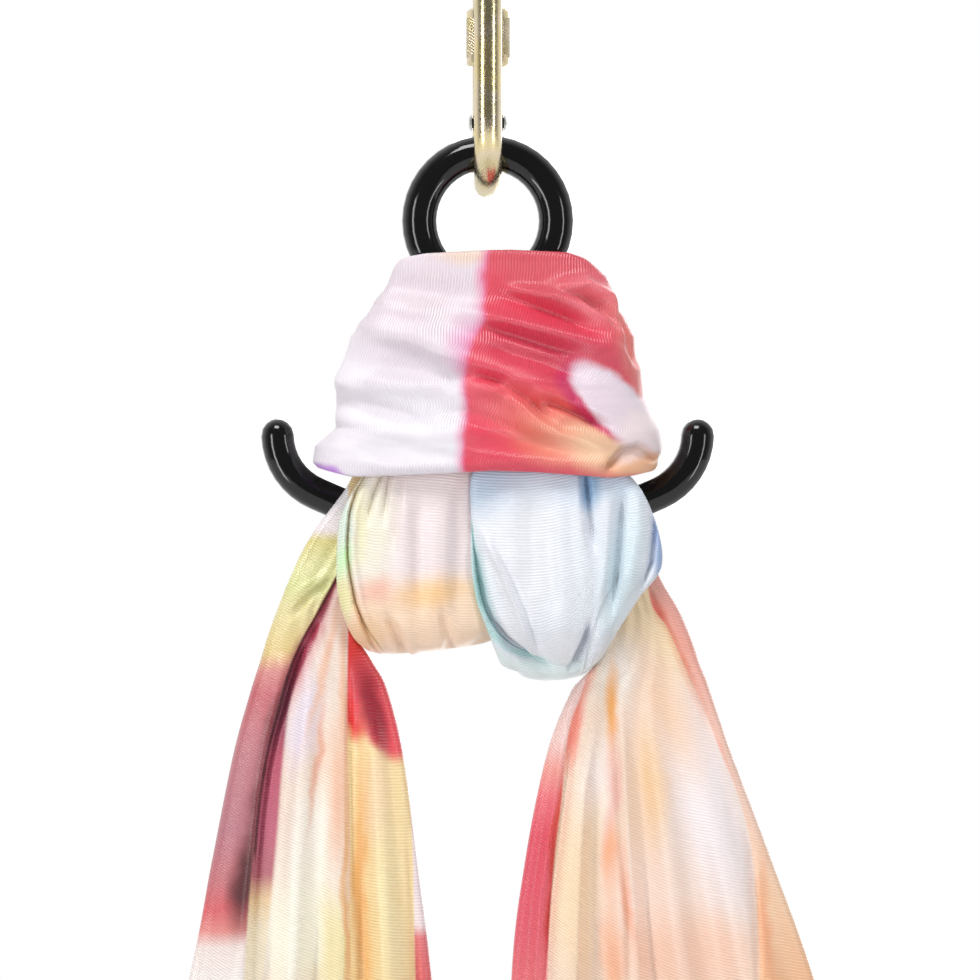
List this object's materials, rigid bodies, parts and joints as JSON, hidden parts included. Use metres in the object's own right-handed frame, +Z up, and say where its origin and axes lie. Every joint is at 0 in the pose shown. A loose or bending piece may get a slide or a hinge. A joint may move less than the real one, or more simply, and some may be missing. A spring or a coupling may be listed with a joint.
{
  "type": "aerial silks",
  "caption": "Aerial silks hitched on a round-bar figure eight with two ears, which hangs on a screw-gate carabiner; two gathered tails hang down.",
  "frame": {"origin": "the hang point: the inside of the carabiner's upper bend, on its centre plane", "axes": "+Z up, against the hanging load; +X across the figure eight, to the right in the picture; +Y away from the viewer, from the carabiner's spine to its gate"},
  "size_m": [0.7655, 0.08, 2.2554],
  "materials": {
    "zinc": "yellow-passivated zinc plating on steel",
    "steel": "bright steel",
    "black": "gloss black coating",
    "cloth": "satin tricot with a watercolour wash of pinks, reds, oranges, yellows and pale blues"
  },
  "bodies": {
    "carabiner": {"carabiner_body": "zinc", "gate_hinge_rivet": "steel"},
    "gate": {"carabiner_gate": "zinc", "gate_latch_pin": "steel", "gate_plunger": "steel", "gate_spring": "steel"},
    "sleeve": {"lock_sleeve": "zinc"},
    "eight": {"figure_eight": "black", "front_band": "cloth", "left_throat": "cloth", "right_throat": "cloth", "left_lobe": "cloth", "right_lobe": "cloth", "left_inner_turn": "cloth", "right_inner_turn": "cloth"},
    "left_tail": {"left_tail": "cloth"},
    "right_tail": {"right_tail": "cloth"}
  },
  "joints": [
    {"name": "gate_hinge", "type": "hinge", "parent": "carabiner", "child": "gate", "pos_m": [0, 0.0249, -0.0705], "axis": [1, 0, 0], "range_deg": [0, 25], "stiffness_Nm_per_rad": 0.8, "springref_deg": -14.32},
    {"name": "sleeve_slide", "type": "slide", "parent": "gate", "child": "sleeve", "axis": [0, 0, 1], "range_m": [0, 0.01]},
    {"name": "eight_swing", "type": "hinge", "parent": "carabiner", "child": "eight", "pos_m": [0, 0, -0.0947], "axis": [0, 1, 0], "range_deg": [-45, 45]},
    {"name": "left_tail_swing", "type": "hinge", "parent": "eight", "child": "left_tail", "pos_m": [-0.043, -0.0115, -0.21325], "axis": [0, 1, 0], "range_deg": [0, 30]},
    {"name": "right_tail_swing", "type": "hinge", "parent": "eight", "child": "right_tail", "pos_m": [0.043, -0.0115, -0.21325], "axis": [0, -1, 0], "range_deg": [0, 30]}
  ]
}
